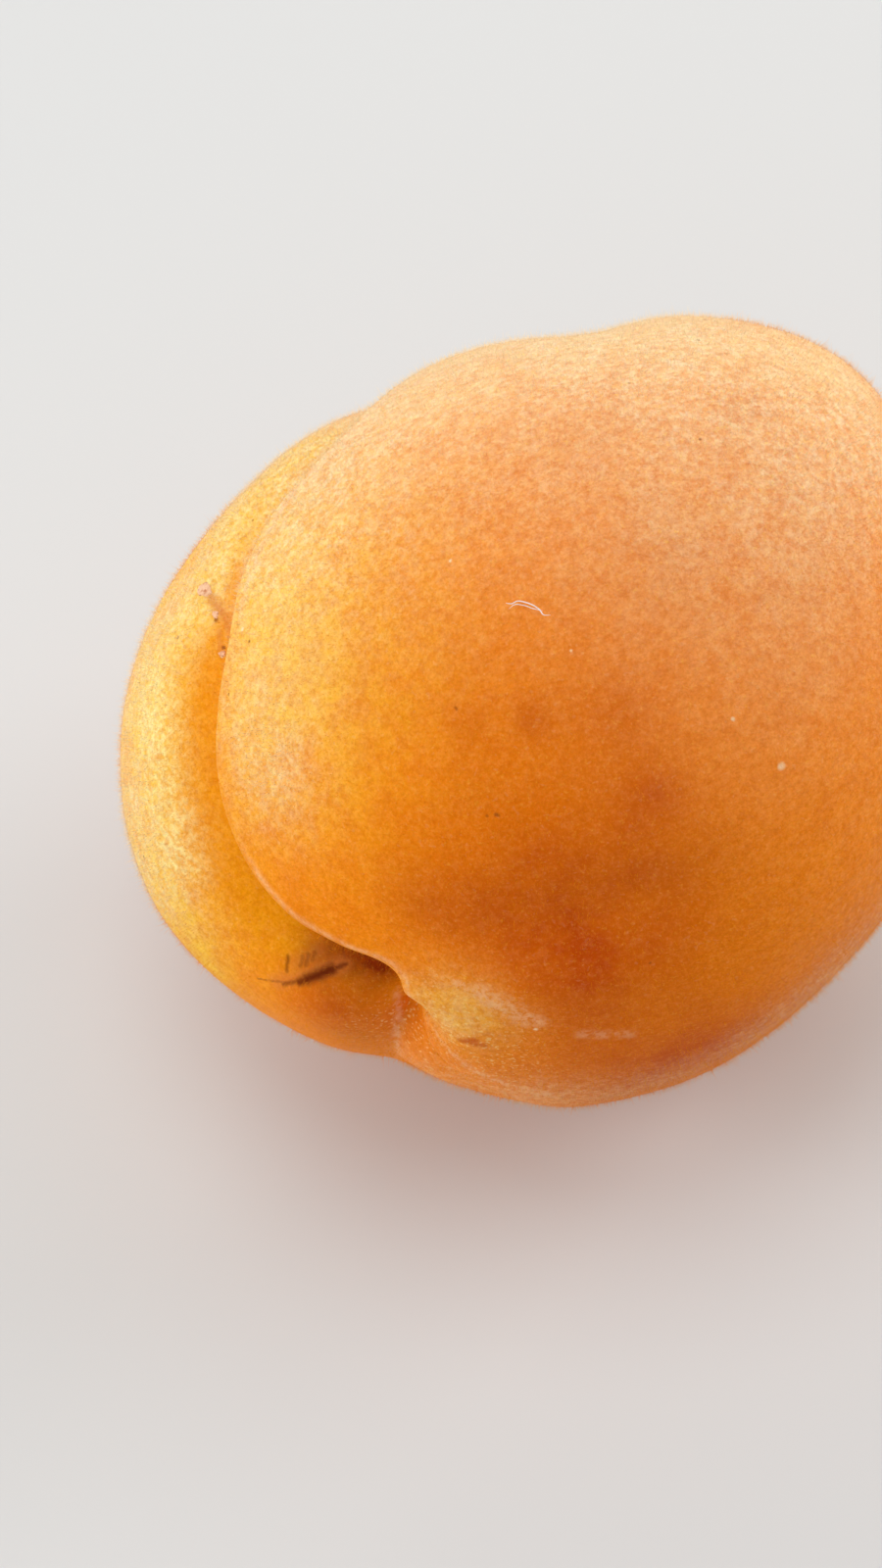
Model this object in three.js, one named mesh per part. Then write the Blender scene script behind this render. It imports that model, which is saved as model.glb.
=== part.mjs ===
// An apricot: one fruit with two unequal cheeks, lying on a small flat spot.
// Millimetres, +Z up. The origin is the middle of the bottom of its box.

import * as THREE from "three";
import { mergeVertices } from "three/addons/utils/BufferGeometryUtils.js";

// The fruit's own axes as it lies: Z points out of the stem end and -Y out of the large cheek
const STEM_DIRECTION = new THREE.Vector3(-0.55, -0.81, 0.203);
const LARGE_CHEEK_DIRECTION = new THREE.Vector3(0.611, -0.224, 0.759);

// Half sizes of the plain fruit on each side of its middle
const HALF_SEAM = 24.7;
const HALF_BACK = 25.4;
const HALF_SMALL_CHEEK = 26.4;
const HALF_LARGE_CHEEK = 27.4;
const HALF_STEM_END = 22.8;
const HALF_APEX_END = 24.0;

// A place on the fruit is a pair of angles in degrees. The first turns from the stem (0) down
// the seam (90) to the apex (180). The second leans to the small cheek (+) or the large one (-).

// Broad swellings and hollows: place, height, spread in degrees
const SWELLINGS = [
  { name: "small cheek", at: [55, 55], height: 3.4, spread: 35 },
  { name: "small cheek, toward the apex", at: [95, 35], height: 0.8, spread: 25 },
  { name: "large cheek, toward the apex", at: [130, -73], height: 1.8, spread: 35 },
  { name: "large cheek beside the apex", at: [170, -50], height: 4.0, spread: 30 },
  { name: "apex shoulder", at: [150, -40], height: -0.8, spread: 25 },
  { name: "back", at: [-75, -16], height: -1.0, spread: 28 },
  { name: "knob beside the stem pit", at: [-10, 1], height: 0.6, spread: 7 },
  { name: "hollow behind the knob", at: [-25, -30], height: -0.5, spread: 14 },
  { name: "hollow between the folds", at: [-32, 36], height: -0.8, spread: 13 },
  { name: "large cheek's far corner", at: [174, -57], height: 0.3, spread: 10 },
  { name: "small cheek, toward the stem", at: [32, 46], height: 0.4, spread: 16 },
  { name: "below the knob", at: [-37, 16], height: 0.4, spread: 9 },
];

// The crease between the cheeks, as [turn, lean, depth, width on the large cheek's side, width
// on the small cheek's side]. It is deepest in the stem pit, where the large cheek overhangs it.
const CREASE = [
  [-180, 0.0, 0.0, 3.0, 4.5],
  [-70, 8.0, 0.0, 2.4, 3.4],
  [-42, 13.5, 0.5, 1.5, 2.4],
  [-26, 14.6, 0.8, 1.2, 2.4],
  [-12, 12.8, 1.1, 1.1, 2.4],
  [-6, 8.8, 1.7, 1.1, 2.6],
  [-1, 3.6, 3.0, 1.2, 3.0],
  [3, -0.8, 5.2, 1.2, 4.0],
  [7, -0.8, 6.0, 1.3, 5.0],
  [13, 3.8, 5.4, 1.5, 5.6],
  [20, 8.2, 4.8, 1.5, 5.8],
  [28, 10.0, 4.4, 1.5, 5.6],
  [36, 9.4, 4.0, 1.5, 5.4],
  [45, 6.6, 3.7, 1.4, 5.0],
  [53, 2.2, 3.3, 1.4, 4.6],
  [61, -2.6, 3.0, 1.3, 4.2],
  [70, -5.6, 2.7, 1.3, 3.8],
  [80, -10.5, 2.4, 1.3, 3.4],
  [92, -18.5, 2.2, 1.3, 3.2],
  [115, -19.0, 1.7, 1.9, 3.4],
  [150, -10.0, 0.9, 2.6, 4.2],
  [180, 0.0, 0.0, 3.0, 4.5],
];
const CREASE_OFFSET = 1.3; // the bottom of the crease lies this many widths past its line
const CREASE_POWER_LARGE = 2.0; // a steep wall below the large cheek
const CREASE_POWER_SMALL = 1.6; // a long slope up the small cheek
const MM_PER_DEGREE = (25 * Math.PI) / 180;

// A second fold runs from the stem pit round the fruit, between two distances from the stem
const FOLD = { heading: 112, full: 8, end: 66, depth: 2.8, width: 5.6, start: -2, power: 1.3 };

// Long soft hollows. A hollow of negative depth is a low ridge.
const HOLLOWS = [
  { name: "high dent", at: [135, -31], depth: 1.5, bearing: 20, halfLength: 14, halfWidth: 6.5 },
  { name: "beside the seam", at: [81, 14], depth: 0.4, bearing: 118, halfLength: 8, halfWidth: 6 },
  { name: "from the stem pit", at: [-9, -34], depth: 0.7, bearing: 40, halfLength: 20, halfWidth: 7 },
  { name: "ridge beside it", at: [-14, -20], depth: -0.35, bearing: 50, halfLength: 16, halfWidth: 6 },
];

// The flat spot that the fruit rests on
const FLAT_CUT = 0.6; // how far the lowest point is pressed in
const FLAT_SOFTNESS = 0.2; // how far above the flat its edge still bends

// The surface is the grid of a box blown up to a ball. Its middle rows run along the crease,
// and its rows and columns gather at the stem pit, where the form is tight.
const GRID = 28; // squares along each side of the box
const ROW_OFFSET = 3; // the middle row lies this many degrees past the crease's line
const ROW_GATHER = { share: 0.6, reach: 24 };
const COLUMN_GATHER = { share: 0.45, reach: 40, at: 4 };

const degrees = THREE.MathUtils.radToDeg;
const radians = THREE.MathUtils.degToRad;

// A unit direction in the fruit's own axes, and back to its pair of angles
function direction([turn, lean]) {
  const t = radians(turn);
  const l = radians(lean);
  return new THREE.Vector3(Math.sin(t) * Math.cos(l), Math.sin(l), Math.cos(t) * Math.cos(l));
}

function place(d) {
  return [degrees(Math.atan2(d.x, d.z)), degrees(Math.asin(THREE.MathUtils.clamp(d.y, -1, 1)))];
}

function bell(distance, spread) {
  return Math.exp(-((distance / spread) ** 2));
}

// Columns of the crease at one turn, on a smooth curve through the rows
function creaseAt(turn) {
  const last = CREASE.length - 1;
  let i = 0;
  while (i < last - 1 && turn > CREASE[i + 1][0]) {
    i += 1;
  }
  const span = CREASE[i + 1][0] - CREASE[i][0];
  const t = (turn - CREASE[i][0]) / span;
  const slope = (row, column) => {
    if (row === 0 || row === last) {
      return 0;
    }
    const rise = CREASE[row + 1][column] - CREASE[row - 1][column];
    return rise / (CREASE[row + 1][0] - CREASE[row - 1][0]);
  };
  const value = (column) =>
    (2 * t ** 3 - 3 * t ** 2 + 1) * CREASE[i][column] +
    (t ** 3 - 2 * t ** 2 + t) * span * slope(i, column) +
    (3 * t ** 2 - 2 * t ** 3) * CREASE[i + 1][column] +
    (t ** 3 - t ** 2) * span * slope(i + 1, column);
  return { line: value(1), depth: value(2), largeWidth: value(3), smallWidth: value(4) };
}

// The plain fruit: an egg shape with its own half size on each of the six sides
function plainRadius(d) {
  const x = d.x / (d.x > 0 ? HALF_SEAM : HALF_BACK);
  const y = d.y / (d.y > 0 ? HALF_SMALL_CHEEK : HALF_LARGE_CHEEK);
  const z = d.z / (d.z > 0 ? HALF_STEM_END : HALF_APEX_END);
  return 1 / Math.hypot(x, y, z);
}

function swellingHeight(d) {
  let height = 0;
  for (const swelling of SWELLINGS) {
    height += swelling.height * bell(degrees(d.angleTo(direction(swelling.at))), swelling.spread);
  }
  return height;
}

function creaseDepth(turn, lean) {
  const crease = creaseAt(turn);
  const across = (lean - crease.line) * MM_PER_DEGREE - CREASE_OFFSET * crease.largeWidth;
  const wall =
    across < 0
      ? (-across / crease.largeWidth) ** CREASE_POWER_LARGE
      : (across / crease.smallWidth) ** CREASE_POWER_SMALL;
  return crease.depth * Math.exp(-wall);
}

function foldDepth(d) {
  const heading = radians(FOLD.heading);
  const along = d.x * Math.cos(heading) + d.y * Math.sin(heading);
  const across = d.y * Math.cos(heading) - d.x * Math.sin(heading);
  const reach = degrees(Math.atan2(along, d.z));
  const rising = THREE.MathUtils.smoothstep(reach, FOLD.start, FOLD.full);
  const falling = 1 - THREE.MathUtils.smoothstep(reach, FOLD.full, FOLD.end);
  const wall = (degrees(Math.abs(Math.asin(across))) / FOLD.width) ** FOLD.power;
  return FOLD.depth * rising * falling * Math.exp(-wall);
}

function hollowDepth(d, hollow) {
  const middle = direction(hollow.at);
  const cosine = d.dot(middle);
  if (cosine <= 0) {
    return 0;
  }
  const east = new THREE.Vector3(0, 1, 0).cross(middle).normalize();
  const north = middle.clone().cross(east);
  const bearing = radians(hollow.bearing);
  const along = north.multiplyScalar(Math.cos(bearing)).addScaledVector(east, Math.sin(bearing));
  const across = middle.clone().cross(along);
  const length = bell(degrees(Math.atan2(d.dot(along), cosine)), hollow.halfLength);
  const width = bell(degrees(Math.atan2(d.dot(across), cosine)), hollow.halfWidth);
  return hollow.depth * length * width;
}

function surfaceRadius(d) {
  const [turn, lean] = place(d);
  let radius = plainRadius(d) + swellingHeight(d) - creaseDepth(turn, lean) - foldDepth(d);
  for (const hollow of HOLLOWS) {
    radius -= hollowDepth(d, hollow);
  }
  return radius;
}

// A point of the ball, moved along it so that the grid follows the crease
function gathered(d) {
  const [column, row] = place(d);
  const fromPit = column - COLUMN_GATHER.at;
  const turn = column - COLUMN_GATHER.share * fromPit * bell(fromPit, COLUMN_GATHER.reach);
  const middleRow = (creaseAt(turn).line + ROW_OFFSET) * (1 - d.y ** 2);
  return direction([turn, row - ROW_GATHER.share * row * bell(row, ROW_GATHER.reach) + middleRow]);
}

function ballGeometry() {
  const ball = new THREE.BoxGeometry(2, 2, 2, GRID, GRID, GRID);
  ball.deleteAttribute("normal");
  ball.deleteAttribute("uv");
  const geometry = mergeVertices(ball, 1e-5);
  const points = geometry.attributes.position;
  const even = (value) => Math.tan((value * Math.PI) / 4);
  for (let i = 0; i < points.count; i += 1) {
    const point = new THREE.Vector3(even(points.getX(i)), even(points.getY(i)), even(points.getZ(i)));
    point.normalize();
    points.setXYZ(i, point.x, point.y, point.z);
  }
  return geometry;
}

// The fruit's own axes, square to each other, as columns
function fruitAxes() {
  const z = STEM_DIRECTION.clone().normalize();
  const y = LARGE_CHEEK_DIRECTION.clone().addScaledVector(z, -LARGE_CHEEK_DIRECTION.dot(z));
  y.normalize().negate();
  return new THREE.Matrix4().makeBasis(y.clone().cross(z), y, z);
}

// A height pressed onto the flat, with a soft edge
function pressed(height, flat) {
  const above = height - flat;
  if (above >= FLAT_SOFTNESS) {
    return height;
  }
  if (above <= -FLAT_SOFTNESS) {
    return flat;
  }
  return flat + (above + FLAT_SOFTNESS) ** 2 / (4 * FLAT_SOFTNESS);
}

function fruitGeometry() {
  const geometry = ballGeometry();
  const points = geometry.attributes.position;
  const axes = fruitAxes();
  const point = new THREE.Vector3();

  for (let i = 0; i < points.count; i += 1) {
    const d = gathered(point.fromBufferAttribute(points, i));
    d.multiplyScalar(surfaceRadius(d)).applyMatrix4(axes);
    points.setXYZ(i, d.x, d.y, d.z);
  }

  geometry.computeBoundingBox();
  const flat = geometry.boundingBox.min.z + FLAT_CUT;
  for (let i = 0; i < points.count; i += 1) {
    points.setZ(i, pressed(points.getZ(i), flat));
  }

  geometry.computeBoundingBox();
  const middle = geometry.boundingBox.getCenter(new THREE.Vector3());
  geometry.translate(-middle.x, -middle.y, -flat);
  geometry.computeVertexNormals();
  return geometry;
}

const skin = new THREE.MeshStandardMaterial({ color: 0xef9a3c, roughness: 0.6, metalness: 0 });
const apricot = new THREE.Mesh(fruitGeometry(), skin);
apricot.name = "apricot";

const fruit = new THREE.Group();
fruit.add(apricot);

export default fruit;
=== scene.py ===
"""A ripe apricot: a finely shaped skin with its crease, scars and specks, under a coat of down."""

import bpy
import numpy as np
from mathutils import Matrix, Vector


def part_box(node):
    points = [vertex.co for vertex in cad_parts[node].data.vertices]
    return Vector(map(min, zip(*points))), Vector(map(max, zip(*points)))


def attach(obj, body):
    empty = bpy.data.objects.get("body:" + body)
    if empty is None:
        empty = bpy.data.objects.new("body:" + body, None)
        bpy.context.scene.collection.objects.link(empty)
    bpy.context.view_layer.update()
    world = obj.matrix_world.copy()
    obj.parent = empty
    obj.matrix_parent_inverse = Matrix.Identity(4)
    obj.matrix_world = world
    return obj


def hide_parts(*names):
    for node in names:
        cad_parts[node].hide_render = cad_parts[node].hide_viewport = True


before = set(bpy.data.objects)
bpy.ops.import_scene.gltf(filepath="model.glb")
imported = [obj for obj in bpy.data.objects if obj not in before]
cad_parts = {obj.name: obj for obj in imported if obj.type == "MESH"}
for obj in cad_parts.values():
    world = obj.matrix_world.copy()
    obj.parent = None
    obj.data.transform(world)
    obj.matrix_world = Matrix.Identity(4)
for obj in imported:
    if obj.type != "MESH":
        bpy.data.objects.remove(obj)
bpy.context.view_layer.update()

MM = 0.001

# ---------------------------------------------------------------- the shape, in millimetres

# The fruit's own axes as it lies: Z points out of the stem end and -Y out of the large cheek
STEM_DIRECTION = (-0.55, -0.81, 0.203)
LARGE_CHEEK_DIRECTION = (0.611, -0.224, 0.759)

# Half sizes of the plain fruit on each side of its middle
HALF_SEAM, HALF_BACK = 24.7, 25.4
HALF_SMALL_CHEEK, HALF_LARGE_CHEEK = 26.4, 27.4
HALF_STEM_END, HALF_APEX_END = 22.8, 24.0

# A place on the fruit is a pair of angles in degrees. The first turns from the stem (0) down
# the seam (90) to the apex (180). The second leans to the small cheek (+) or the large one (-).

# Broad swellings and hollows: place, height, spread in degrees
SWELLINGS = [
    ((55, 55), 3.4, 35),  # small cheek
    ((95, 35), 0.8, 25),  # small cheek, toward the apex
    ((130, -73), 1.8, 35),  # large cheek, toward the apex
    ((170, -50), 4.0, 30),  # large cheek beside the apex
    ((150, -40), -0.8, 25),  # apex shoulder
    ((-75, -16), -1.0, 28),  # back
    ((-10, 1), 0.6, 7),  # knob beside the stem pit
    ((-25, -30), -0.5, 14),  # hollow behind the knob
    ((-32, 36), -0.8, 13),  # hollow between the folds
    ((174, -57), 0.3, 10),  # large cheek's far corner
    ((32, 46), 0.4, 16),  # small cheek, toward the stem
    ((-37, 16), 0.4, 9),  # below the knob
]

# The crease between the cheeks: turn, lean, depth, and its width on the large and the small cheek
CREASE = np.array(
    [
        (-180, 0.0, 0.0, 3.0, 4.5),
        (-70, 8.0, 0.0, 2.4, 3.4),
        (-42, 13.5, 0.5, 1.5, 2.4),
        (-26, 14.6, 0.8, 1.2, 2.4),
        (-12, 12.8, 1.1, 1.1, 2.4),
        (-6, 8.8, 1.7, 1.1, 2.6),
        (-1, 3.6, 3.0, 1.2, 3.0),
        (3, -0.8, 5.2, 1.2, 4.0),
        (7, -0.8, 6.0, 1.3, 5.0),
        (13, 3.8, 5.4, 1.5, 5.6),
        (20, 8.2, 4.8, 1.5, 5.8),
        (28, 10.0, 4.4, 1.5, 5.6),
        (36, 9.4, 4.0, 1.5, 5.4),
        (45, 6.6, 3.7, 1.4, 5.0),
        (53, 2.2, 3.3, 1.4, 4.6),
        (61, -2.6, 3.0, 1.3, 4.2),
        (70, -5.6, 2.7, 1.3, 3.8),
        (80, -10.5, 2.4, 1.3, 3.4),
        (92, -18.5, 2.2, 1.3, 3.2),
        (115, -19.0, 1.7, 1.9, 3.4),
        (150, -10.0, 0.9, 2.6, 4.2),
        (180, 0.0, 0.0, 3.0, 4.5),
    ]
)
CREASE_OFFSET = 1.3  # the bottom of the crease lies this many widths past its line
CREASE_POWER_LARGE, CREASE_POWER_SMALL = 2.0, 1.6
MM_PER_DEGREE = np.radians(25)  # along the skin, 25 mm from the middle

# The second fold out of the stem pit. Its angles are in degrees and its depth in millimetres.
FOLD = dict(heading=112, full=8, end=66, depth=2.8, width=5.6, start=-2, power=1.3)
# Long soft hollows. A hollow of negative depth is a low ridge.
HOLLOWS = [
    dict(at=(135, -31), depth=1.5, bearing=20, half_length=14, half_width=6.5),  # high dent
    dict(at=(81, 14), depth=0.4, bearing=118, half_length=8, half_width=6),  # beside the seam
    dict(at=(-9, -34), depth=0.7, bearing=40, half_length=20, half_width=7),  # from the stem pit
    dict(at=(-14, -20), depth=-0.35, bearing=50, half_length=16, half_width=6),  # beside it
]

FLAT_CUT = 0.6  # how far the lowest point is pressed in
FLAT_SOFTNESS = 0.2  # how far above the flat its edge still bends

# The surface is the grid of a box blown up to a ball, gathered at the crease and the stem pit
SKIN_GRID = 128
ROW_OFFSET = 3
ROW_GATHER, ROW_REACH = 0.6, 24
COLUMN_GATHER, COLUMN_REACH, COLUMN_AT = 0.45, 40, 4


def unit(v):
    return v / np.linalg.norm(v, axis=-1, keepdims=True)


def direction(turn, lean):
    t, l = np.radians(turn), np.radians(lean)
    return np.stack([np.sin(t) * np.cos(l), np.sin(l), np.cos(t) * np.cos(l)], axis=-1)


def place(d):
    """Turn and lean of directions."""
    turn = np.degrees(np.arctan2(d[..., 0], d[..., 2]))
    return turn, np.degrees(np.arcsin(np.clip(d[..., 1], -1, 1)))


def bell(distance, spread):
    return np.exp(-((distance / spread) ** 2))


def smoothstep(x, low, high):
    t = np.clip((x - low) / (high - low), 0, 1)
    return t * t * (3 - 2 * t)


def apart(d, where):
    """Angle in degrees between directions and one place."""
    return np.degrees(np.arccos(np.clip(d @ direction(*where), -1, 1)))


def crease_at(turn):
    """The crease's lean, depth and two widths at each turn, on a smooth curve through its rows."""
    knots, values = CREASE[:, 0], CREASE[:, 1:]
    slopes = np.zeros_like(values)
    slopes[1:-1] = (values[2:] - values[:-2]) / (knots[2:] - knots[:-2])[:, None]
    i = np.clip(np.searchsorted(knots, turn) - 1, 0, len(knots) - 2)
    span = (knots[i + 1] - knots[i])[:, None]
    t = (turn - knots[i])[:, None] / span
    mixed = (
        (2 * t**3 - 3 * t**2 + 1) * values[i]
        + (t**3 - 2 * t**2 + t) * span * slopes[i]
        + (3 * t**2 - 2 * t**3) * values[i + 1]
        + (t**3 - t**2) * span * slopes[i + 1]
    )
    return mixed.T


def plain_radius(d):
    """Radius of an egg that has its own half size on each of its six sides."""
    x = d[:, 0] / np.where(d[:, 0] > 0, HALF_SEAM, HALF_BACK)
    y = d[:, 1] / np.where(d[:, 1] > 0, HALF_SMALL_CHEEK, HALF_LARGE_CHEEK)
    z = d[:, 2] / np.where(d[:, 2] > 0, HALF_STEM_END, HALF_APEX_END)
    return 1 / np.sqrt(x**2 + y**2 + z**2)


def crease_across(turn, lean):
    """Distance from the bottom of the crease, positive on the small cheek."""
    line, depth, large_width, small_width = crease_at(turn)
    across = (lean - line) * MM_PER_DEGREE - CREASE_OFFSET * large_width
    return across, depth, large_width, small_width


def crease_depth(d):
    across, depth, large_width, small_width = crease_across(*place(d))
    large_wall = (np.abs(across) / large_width) ** CREASE_POWER_LARGE
    small_wall = (np.abs(across) / small_width) ** CREASE_POWER_SMALL
    return depth * np.exp(-np.where(across < 0, large_wall, small_wall))


def fold_depth(d):
    """Depth of the fold: a valley along its heading that rises and falls with its reach."""
    heading = np.radians(FOLD["heading"])
    along = d[:, 0] * np.cos(heading) + d[:, 1] * np.sin(heading)
    across = d[:, 1] * np.cos(heading) - d[:, 0] * np.sin(heading)
    reach = np.degrees(np.arctan2(along, d[:, 2]))
    rising = smoothstep(reach, FOLD["start"], FOLD["full"])
    falling = 1 - smoothstep(reach, FOLD["full"], FOLD["end"])
    wall = (np.degrees(np.abs(np.arcsin(across))) / FOLD["width"]) ** FOLD["power"]
    return FOLD["depth"] * rising * falling * np.exp(-wall)


def tangents(where):
    """Unit directions east and north at a place."""
    middle = direction(*where)
    east = unit(np.cross([0.0, 1.0, 0.0], middle))
    return middle, east, np.cross(middle, east)


def oval(d, at, bearing, half_length, half_width):
    """1 in the middle of a long soft patch, falling to 0 round it. Sizes are in degrees."""
    middle, east, north = tangents(at)
    turn = np.radians(bearing)
    along = north * np.cos(turn) + east * np.sin(turn)
    across = np.cross(middle, along)
    cosine = d @ middle
    length = bell(np.degrees(np.arctan2(d @ along, cosine)), half_length)
    width = bell(np.degrees(np.arctan2(d @ across, cosine)), half_width)
    return np.where(cosine > 0, length * width, 0)


def surface_radius(d):
    """Distance from the fruit's middle to its skin, before the flat spot is pressed in."""
    r = plain_radius(d)
    for where, height, spread in SWELLINGS:
        r += height * bell(apart(d, where), spread)
    for h in HOLLOWS:
        r -= h["depth"] * oval(d, h["at"], h["bearing"], h["half_length"], h["half_width"])
    return r - crease_depth(d) - fold_depth(d)


def fruit_axes():
    """Rows are the fruit's own X, Y and Z in the frame as it lies."""
    z = unit(np.array(STEM_DIRECTION))
    cheek = np.array(LARGE_CHEEK_DIRECTION)
    y = -unit(cheek - (cheek @ z) * z)
    return np.stack([np.cross(y, z), y, z])


def gathered(d):
    """Directions drawn in toward the crease and the stem pit, where the grid has to be fine."""
    column, row = place(d)
    from_pit = column - COLUMN_AT
    turn = column - COLUMN_GATHER * from_pit * bell(from_pit, COLUMN_REACH)
    middle_row = (crease_at(turn)[0] + ROW_OFFSET) * (1 - d[:, 1] ** 2)
    return direction(turn, row - ROW_GATHER * row * bell(row, ROW_REACH) + middle_row)


def box_ball(squares):
    """Directions and four-sided faces of a box's grid blown up to a ball, corners shared."""
    steps = np.arange(squares + 1)
    a, b = np.meshgrid(steps, steps, indexing="ij")
    corners, faces = [], []
    for axis in range(3):
        for side in (0, squares):
            grid = np.zeros((squares + 1, squares + 1, 3), int)
            grid[..., axis] = side
            grid[..., (axis + 1) % 3] = a
            grid[..., (axis + 2) % 3] = b
            number = (np.arange((squares + 1) ** 2) + len(corners) * (squares + 1) ** 2).reshape(a.shape)
            quad = np.stack(
                [number[:-1, :-1], number[1:, :-1], number[1:, 1:], number[:-1, 1:]], axis=-1
            ).reshape(-1, 4)
            corners.append(grid.reshape(-1, 3))
            faces.append(quad if side else quad[:, ::-1])
    points, shared = np.unique(np.concatenate(corners), axis=0, return_inverse=True)
    even = np.tan((points / squares * 2 - 1) * np.pi / 4)
    return unit(even), shared.reshape(-1)[np.concatenate(faces)]


def pressed(height, flat):
    """Heights with all that lies under the flat spot pressed up to it."""
    above = height - flat
    soft = flat + (above + FLAT_SOFTNESS) ** 2 / (4 * FLAT_SOFTNESS)
    return np.where(above >= FLAT_SOFTNESS, height, np.where(above <= -FLAT_SOFTNESS, flat, soft))


def new_mesh_object(name, points_mm, faces, smooth=True):
    """A mesh object from points in millimetres and faces that all have the same number of sides."""
    mesh = bpy.data.meshes.new(name)
    sides = faces.shape[1]
    mesh.vertices.add(len(points_mm))
    mesh.vertices.foreach_set("co", (points_mm * MM).astype(np.float32).ravel())
    mesh.loops.add(faces.size)
    mesh.loops.foreach_set("vertex_index", faces.astype(np.int32).ravel())
    mesh.polygons.add(len(faces))
    mesh.polygons.foreach_set("loop_start", np.arange(0, faces.size, sides, dtype=np.int32))
    mesh.polygons.foreach_set("use_smooth", np.full(len(faces), smooth))
    mesh.update(calc_edges=True)
    piece = bpy.data.objects.new(name, mesh)
    bpy.context.scene.collection.objects.link(piece)
    return piece


def set_mask(piece, name, values):
    mask = piece.data.attributes.new(name, "FLOAT", "POINT")
    mask.data.foreach_set("value", np.clip(values, 0, 1).astype(np.float32))


WAVE_COUNT = 24
WAVE_PACES = (0.6, 1.5)


def waves(p, size, seed):
    """Smooth noise near -1 to 1 whose bumps are about this many millimetres apart."""
    rng = np.random.default_rng(seed)
    total = np.zeros(len(p))
    for _ in range(WAVE_COUNT):
        way = unit(rng.normal(size=3))
        pace = 2 * np.pi / size * rng.uniform(*WAVE_PACES)
        total += np.sin(p @ way * pace + rng.uniform(0, 2 * np.pi))
    return total / np.sqrt(WAVE_COUNT)


# ---------------------------------------------------------------- fine shape

# Lumps of the skin: size across and height
LUMPS = [(12.0, 0.04), (5.0, 0.02), (1.8, 0.008)]
WRINKLES = dict(at=(0, -73), bearing=20, half_length=12, half_width=9, size=1.0, height=0.03, seed=9)

# A scratch on the small cheek beside the stem pit, as places along it
SCRATCH = [(9.2, 24.5), (9.5, 21.3), (8.7, 18.4), (8.0, 16.1)]
SCRATCH_HALF_WIDTH, SCRATCH_DEPTH = 0.22, 0.05


def to_frame(d, height=0.0):
    """Points in the frame, in millimetres, of the plain surface plus a height along its radius."""
    return (d * (surface_radius(d) + height)[:, None]) @ axes + shift


def on_skin(where, height=0.0):
    return to_frame(direction(*where)[None], height)[0]


def to_segment(p, start, end):
    """Distance from points to a straight segment."""
    span = end - start
    along = np.clip((p - start) @ span / (span @ span), 0, 1)
    return np.linalg.norm(p - start - along[:, None] * span, axis=1)


def to_line(p, places):
    knots = [on_skin(where) for where in places]
    return np.min([to_segment(p, a, b) for a, b in zip(knots, knots[1:])], axis=0)


def fine_height(d, p):
    """Lumps, wrinkles and the scratch, as a height over the plain surface."""
    height = sum(tall * waves(p, size, seed) for seed, (size, tall) in enumerate(LUMPS, 1))
    w = WRINKLES
    patch = oval(d, w["at"], w["bearing"], w["half_length"], w["half_width"])
    height += w["height"] * patch * waves(p, w["size"], w["seed"])
    return height - SCRATCH_DEPTH * bell(to_line(p, SCRATCH), SCRATCH_HALF_WIDTH)


# ---------------------------------------------------------------- the skin

axes = fruit_axes()
ball, skin_faces = box_ball(SKIN_GRID)
spots = gathered(ball)
plain = spots * surface_radius(spots)[:, None] @ axes
flat = plain[:, 2].min() + FLAT_CUT
cad_low, cad_high = (np.array(corner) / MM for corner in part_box("apricot"))
middle = (plain.min(0) + plain.max(0)) / 2
wanted = (cad_low + cad_high) / 2
shift = np.array([wanted[0] - middle[0], wanted[1] - middle[1], cad_low[2] - flat])

skin_points = to_frame(spots, fine_height(spots, plain + shift))
skin_points[:, 2] = pressed(skin_points[:, 2], cad_low[2])
apricot = new_mesh_object("apricot_skin", skin_points, skin_faces)
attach(apricot, "root")
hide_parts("apricot")

# Soft patches of colour: place, reach in degrees, strength. Pale is partly a painted sheen of light high on
# the fruit, deep is partly painted shade low on the fruit and under the lip by the stem pit, and glint and
# sparkle are painted highlights.
PATCHES = {
    "yellow": [((56, 32), 20, 1.0), ((30, 42), 13, 0.9), ((-6, -4), 8, 0.65), ((84, 16), 18, 1.0),
               ((88, -2), 8, 0.7), ((100, -5), 9, 0.7), ((56, -12), 26, 0.75), ((61, 17), 11, 0.5)],
    "deep": [((-8, -31), 19, 0.88), ((11, -20), 9, 0.30), ((-42, -8), 20, 0.7), ((8, 15), 12, 0.55),
             ((-2, -53), 4, 0.35), ((30, -42), 22, 0.25), ((-70, -22), 16, 0.5),
             ((31, -40), 3.0, 0.35), ((26, -47.5), 2.5, 0.35), ((17, -57), 5, 0.20),
             ((121, -71), 4, 0.25), ((2, 20), 9, 0.20)],
    "rosy": [((93, -76), 18, 0.9), ((85, -55), 14, 0.7), ((-10, -80), 20, 0.45)],
    "pale": [((116, -30), 32, 1.0), ((54, -14), 10, 0.8), ((152, -55), 20, 1.0)],
    "sparkle": [((-8, -2), 10, 0.45), ((-4, 19), 5, 0.25), ((-12, 22), 8, 0.40), ((-20, 5), 10, 0.35)],
    "glint": [((62, 20), 6, 0.5), ((56, 21), 5, 0.6), ((50, 23), 4, 0.5), ((44, 26), 4.5, 0.7),
              ((38, 29), 4, 0.6)],
}
# Painted shade under the lip of the large cheek at the stem pit: place, reach in degrees, strength
PIT_SHADE_PATCHES = [((1, 8), 4, 0.6), ((5, 9), 4, 0.65), ((9.5, 11.5), 4, 0.6), ((15, 13), 5, 0.35),
               ((9, 15), 8, 0.30), ((12, 18), 4, 0.35), ((-6, 26), 9, 0.2)]

# The crease keeps a clearer colour, a painted glow of light bounced in the deep groove, in a band that
# narrows high on the seam. A band's middle and reach are shares of the crease's width on the small cheek.
WIDE_BAND = dict(strength=1.25, middle=0.4, reach=0.8)
NARROW_BAND = dict(strength=0.9, middle=0.3, reach=0.55)
NARROWING_TURNS = (62, 72)
CLEAR_COLOR_DEPTHS = (1.6, 2.6)  # the crease shows the painted glow once it is this deep
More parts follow.
